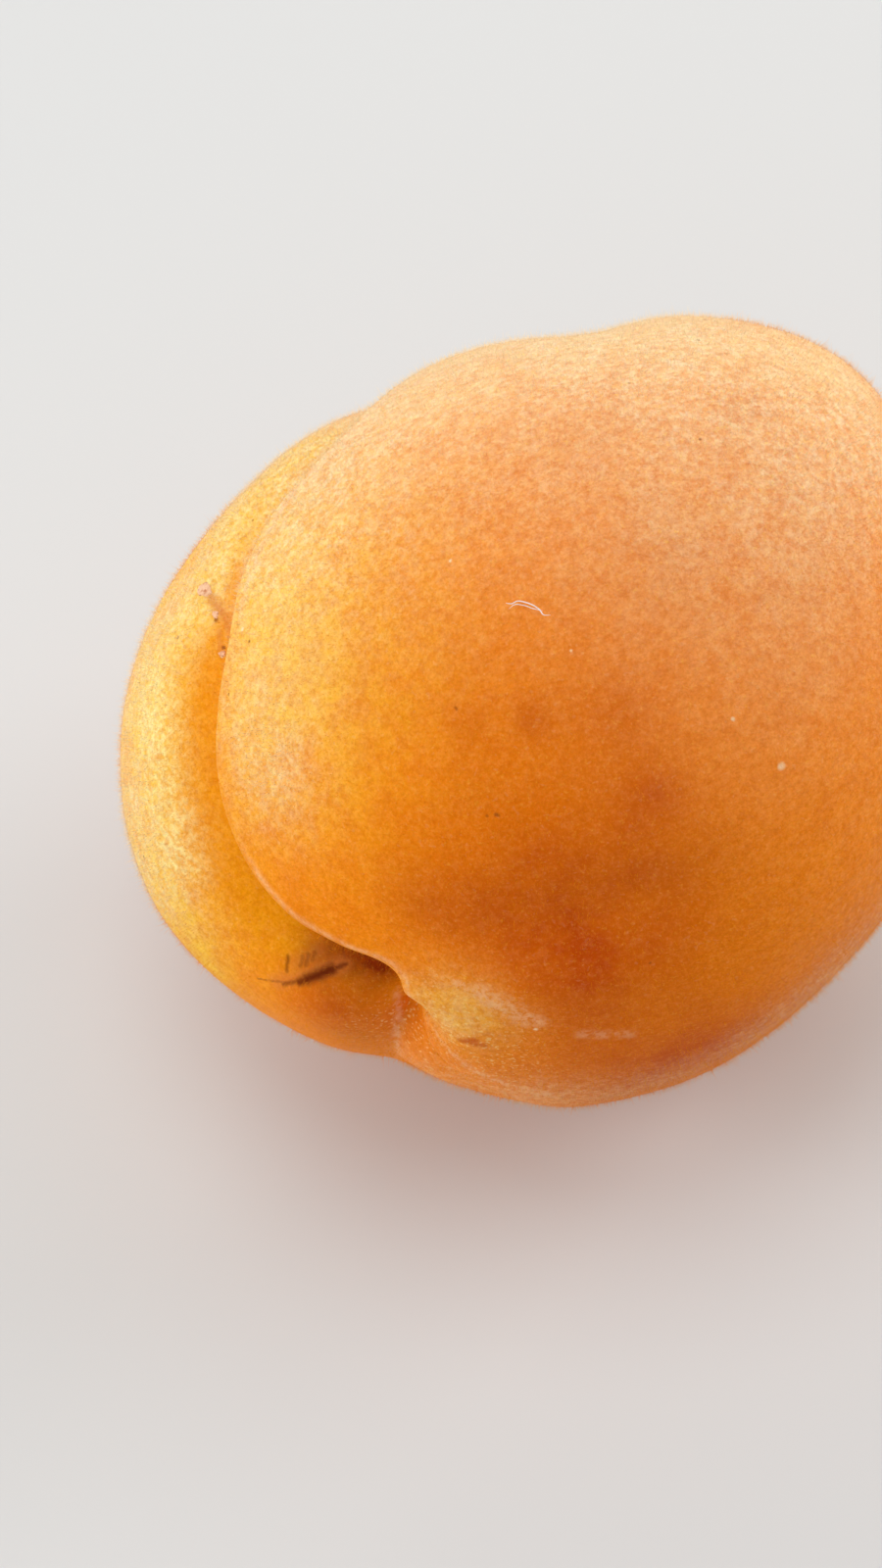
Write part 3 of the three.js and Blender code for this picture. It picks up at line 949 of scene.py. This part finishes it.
def skin_material():
    material, shader = new_material("apricot_skin", MID_ORANGE, SKIN_ROUGHNESS)
    tree = material.node_tree
    position = millimetres(tree)
    noises = {name: noise(tree, position, *settings) for name, settings in NOISES.items()}
    bloom_and_sheen_mask = attribute(tree, "bloom_and_sheen")

    def level(name):
        source, *levels = LEVELS[name]
        return ramp(tree, noises[source], *levels)

    def times(a, b):
        return math(tree, "MULTIPLY", a, b)

    # broad patches of ripeness, painted sheen and painted shade, with unsteady borders
    wobble = math(tree, "ADD", level("broad wobble"), level("middle wobble"))

    def patch(name, share=1.0):
        mask = attribute(tree, name)
        shaken = math(tree, "MULTIPLY_ADD", times(mask, wobble), PATCH_WOBBLE, mask)
        return math(tree, "MULTIPLY", shaken, share, clamp=True)

    color = MID_ORANGE
    for name, tint in RIPENESS_AND_PAINTED_LIGHT:
        color = mix(tree, patch(name), color, tint)

    # deeper grains, the mottled veil of bloom with its painted sheen, small pale pores, the painted
    # highlight on the lip and the painted glints along the small cheek
    color = mix(tree, level("deep grains"), color, DEEP_ORANGE)
    veil = times(times(bloom_and_sheen_mask, level("speckle")), level("blotches"))
    bloom_and_sheen_color = mix(tree, patch("yellow"), BLOOM_AND_SHEEN_CREAM, BLOOM_AND_SHEEN_GOLD)
    color = mix(tree, times(veil, VEIL_SHARE), color, bloom_and_sheen_color)
    pores = times(level("pores"), math(tree, "ADD", bloom_and_sheen_mask, PORES_ON_BARE_SKIN, clamp=True))
    color = mix(tree, pores, color, PORE_YELLOW)
    color = mix(tree, times(patch("lip", LIP_SHARE), level("ragged lip")), color, LIP_HIGHLIGHT_PINK)
    color = mix(tree, times(attribute(tree, "glint"), level("glints")), color, GLINT_WHITE)

    # tiny grains are a little deeper all over, and paler where there is down and its painted sheen
    outside_pit = math(tree, "SUBTRACT", 1.0, attribute(tree, "pit"), clamp=True)
    down_and_sheen = times(math(tree, "ADD", bloom_and_sheen_mask, GRAINS_ON_BARE_SKIN, clamp=True), outside_pit)
    for grain in ("tiny", "small"):
        color = mix(tree, level(grain + " deep"), color, GRAIN_DEEP)
        color = mix(tree, times(level(grain + " pale"), down_and_sheen), color, PALE_GRAIN_AND_SPARKLE)
    color = vector_math(tree, "MULTIPLY", color, times(level("tiny light"), level("small light")))

    # sparse pale dots, painted glints on the tips of the down, and painted sparkles of lit down by the stem
    # pit
    color = mix(tree, times(level("tips"), down_and_sheen), color, FLECK_AND_GLINT_CREAM)
    color = mix(tree, times(level("sparkles"), attribute(tree, "sparkle")), color, PALE_GRAIN_AND_SPARKLE)

    # scars, specks and flecks, all with uneven edges
    warp_texture = tree.nodes.new("ShaderNodeTexNoise")
    tree.links.new(position, warp_texture.inputs["Vector"])
    warp_texture.inputs["Scale"].default_value = 1 / MARK_WARP_SIZE
    warp = vector_math(tree, "SUBTRACT", warp_texture.outputs["Color"], (0.5, 0.5, 0.5))
    warp = vector_math(tree, "MULTIPLY", warp, (MARK_WARP, MARK_WARP, MARK_WARP))
    ragged = vector_math(tree, "ADD", position, warp)
    spot, stroke = spot_group(), stroke_group()

    def spot_marks(marks):
        masks = []
        for where, radius, strength in marks:
            mask = use_group(tree, spot, Position=ragged, Middle=on_skin(where), Radius=radius,
                             Rim=radius * SPOT_RIM)
            masks.append(times(mask, strength))
        return strongest(tree, masks)

    def stroke_marks(marks, rim):
        masks = []
        for start, end, half_width, strength in marks:
            mask = use_group(tree, stroke, Position=ragged, Start=on_skin(start), End=on_skin(end),
                             Half_Width=half_width, Rim=half_width * rim)
            masks.append(times(mask, strength))
        return strongest(tree, masks)

    scratches = stroke_marks(BROWN_STROKES, BROWN_RIM)
    for mask, tint in (
        (times(stroke_marks(PINK_STROKES, PINK_RIM), level("broken scar")), SCAR_PINK),
        (stroke_marks(SMUDGES, STAIN_RIM), STAIN_BROWN),
        (stroke_marks(BRUISES, STAIN_RIM), DEEP_ORANGE),
        (spot_marks(SPECKS), SPECK_BROWN),
        (scratches, SCAR_BROWN),
        (spot_marks(FLECKS), FLECK_AND_GLINT_CREAM),
    ):
        color = mix(tree, mask, color, tint)
    tree.links.new(color, shader.inputs["Base Color"])

    # grain and scratches in relief
    bump = tree.nodes.new("ShaderNodeBump")
    bump.inputs["Distance"].default_value = RELIEF * MM
    bump.inputs["Strength"].default_value = 1.0
    height = math(tree, "MULTIPLY_ADD", noises["tiny"], TINY_RELIEF, noises["fine"])
    height = math(tree, "MULTIPLY_ADD", scratches, SCRATCH_RELIEF, height)
    tree.links.new(height, bump.inputs["Height"])
    tree.links.new(bump.outputs["Normal"], shader.inputs["Normal"])

    shader.inputs["Subsurface Weight"].default_value = 0.2
    shader.inputs["Subsurface Scale"].default_value = 1 * MM
    shader.inputs["Subsurface Radius"].default_value = (1.0, 0.35, 0.1)
    shader.inputs["Specular IOR Level"].default_value = 0.03
    shader.inputs["Specular Tint"].default_value = (*GLOSS_ORANGE, 1)
    shader.inputs["Sheen Weight"].default_value = 0.03
    shader.inputs["Sheen Roughness"].default_value = 0.12
    shader.inputs["Sheen Tint"].default_value = (*SHEEN_CREAM, 1)
    return material


CRUST_NOISE = (0.4, 3.0, 0.6)  # size in millimetres, detail, roughness
CRUST_BROWN_LEVELS = (0.46, 0.64)
CREAM_DOWN_BLOOM_AND_SHEEN = (0.15, 0.60)  # the down turns from warm to cream as the bloom and its painted sheen grow strong


def crust_material():
    material, shader = new_material("crust", CRUST_PINK, CRUST_ROUGHNESS)
    tree = material.node_tree
    brown = ramp(tree, noise(tree, millimetres(tree), *CRUST_NOISE), *CRUST_BROWN_LEVELS)
    tree.links.new(mix(tree, brown, CRUST_PINK, CRUST_BROWN), shader.inputs["Base Color"])
    return material


def down_material():
    material, shader = new_material("down", DOWN_CREAM, DOWN_ROUGHNESS)
    tree = material.node_tree
    thick = ramp(tree, attribute(tree, "bloom_and_sheen"), *CREAM_DOWN_BLOOM_AND_SHEEN)
    tree.links.new(mix(tree, thick, DOWN_WARM, DOWN_CREAM), shader.inputs["Base Color"])
    shader.inputs["Specular IOR Level"].default_value = 0.0
    return material


def dress(pieces, material):
    for piece in pieces:
        piece.data.materials.append(material)


dress([apricot], skin_material())
dress(crust_pieces, crust_material())
dress(lint_pieces, new_material("lint", LINT_WHITE, LINT_ROUGHNESS)[0])
dress(down_pieces, down_material())

# ---------------------------------------------------------------- floor, lights and camera

FLOOR_HALF = 3000
FLOOR_GREY, FLOOR_ROUGHNESS = (0.68, 0.68, 0.67), 0.8
WORLD_STRENGTH = 0.54
LIGHT_DISTANCE = 380  # from the fruit's middle
LIGHT_SIZE = 220
LIGHTS = [
    # name, bearing from +X in degrees, height in degrees, watts
    ("top", 90, 85, 0.35),
    ("back", 90, 22, 0.24),
    ("left", 175, 20, 0.56),
    ("right", 5, 25, 0.56),
    ("front", 228, 14, 0.085),
]

FRAME_PIXELS = (900, 1600)
MM_PER_PIXEL = 0.064  # at the fruit's middle
CAMERA_DISTANCE = 190  # from the fruit's middle
CAMERA_ELEVATION = 58
CAMERA_ROLL = 15
FRUIT_MIDDLE_PIXEL = (552, 753)
FRUIT_MIDDLE = np.array([0.39, -0.43, 25.36])
SENSOR = 36
NEAREST_SEEN = 10


def add_floor():
    corners = np.array([[-1, -1, 0], [1, -1, 0], [1, 1, 0], [-1, 1, 0]]) * FLOOR_HALF
    floor = new_mesh_object("floor", corners, np.array([[0, 1, 2, 3]]), smooth=False)
    floor.data.materials.append(new_material("floor", FLOOR_GREY, FLOOR_ROUGHNESS)[0])


def add_light(name, bearing, height, watts):
    """A round soft light that faces the fruit."""
    b, h = np.radians(bearing), np.radians(height)
    away = np.array([np.cos(h) * np.cos(b), np.cos(h) * np.sin(b), np.sin(h)])
    at = Vector(FRUIT_MIDDLE + away * LIGHT_DISTANCE) * MM
    lamp = bpy.data.lights.new(name, "AREA")
    lamp.shape = "DISK"
    lamp.size = LIGHT_SIZE * MM
    lamp.energy = watts
    holder = bpy.data.objects.new(name, lamp)
    holder.location = at
    holder.rotation_euler = (Vector(FRUIT_MIDDLE) * MM - at).to_track_quat("-Z", "Y").to_euler()
    bpy.context.scene.collection.objects.link(holder)


def add_camera():
    up, roll = np.radians(CAMERA_ELEVATION), np.radians(CAMERA_ROLL)
    toward = np.array([0, -np.cos(up), np.sin(up)])
    level_up = np.array([0, np.sin(up), np.cos(up)])
    level_right = np.array([1.0, 0, 0])
    right = level_right * np.cos(roll) - level_up * np.sin(roll)
    upward = level_right * np.sin(roll) + level_up * np.cos(roll)
    across = (FRAME_PIXELS[0] / 2 - FRUIT_MIDDLE_PIXEL[0]) * MM_PER_PIXEL
    along = (FRUIT_MIDDLE_PIXEL[1] - FRAME_PIXELS[1] / 2) * MM_PER_PIXEL
    eye = FRUIT_MIDDLE + right * across + upward * along + toward * CAMERA_DISTANCE
    camera = bpy.data.cameras.new("camera")
    camera.sensor_width = SENSOR
    camera.lens = SENSOR * CAMERA_DISTANCE / (FRAME_PIXELS[1] * MM_PER_PIXEL)
    camera.clip_start = NEAREST_SEEN * MM
    holder = bpy.data.objects.new("camera", camera)
    turned = Matrix(np.stack([right, upward, toward], axis=1).tolist()).to_4x4()
    holder.matrix_world = Matrix.Translation(Vector(eye) * MM) @ turned
    bpy.context.scene.collection.objects.link(holder)
    bpy.context.scene.camera = holder


def add_world():
    world = bpy.data.worlds.new("studio")
    world.use_nodes = True
    background = world.node_tree.nodes["Background"]
    background.inputs["Color"].default_value = (1.0, 1.0, 1.0, 1)
    background.inputs["Strength"].default_value = WORLD_STRENGTH
    bpy.context.scene.world = world


add_floor()
add_world()
for light in LIGHTS:
    add_light(*light)
add_camera()
bpy.context.scene.view_settings.view_transform = "Standard"
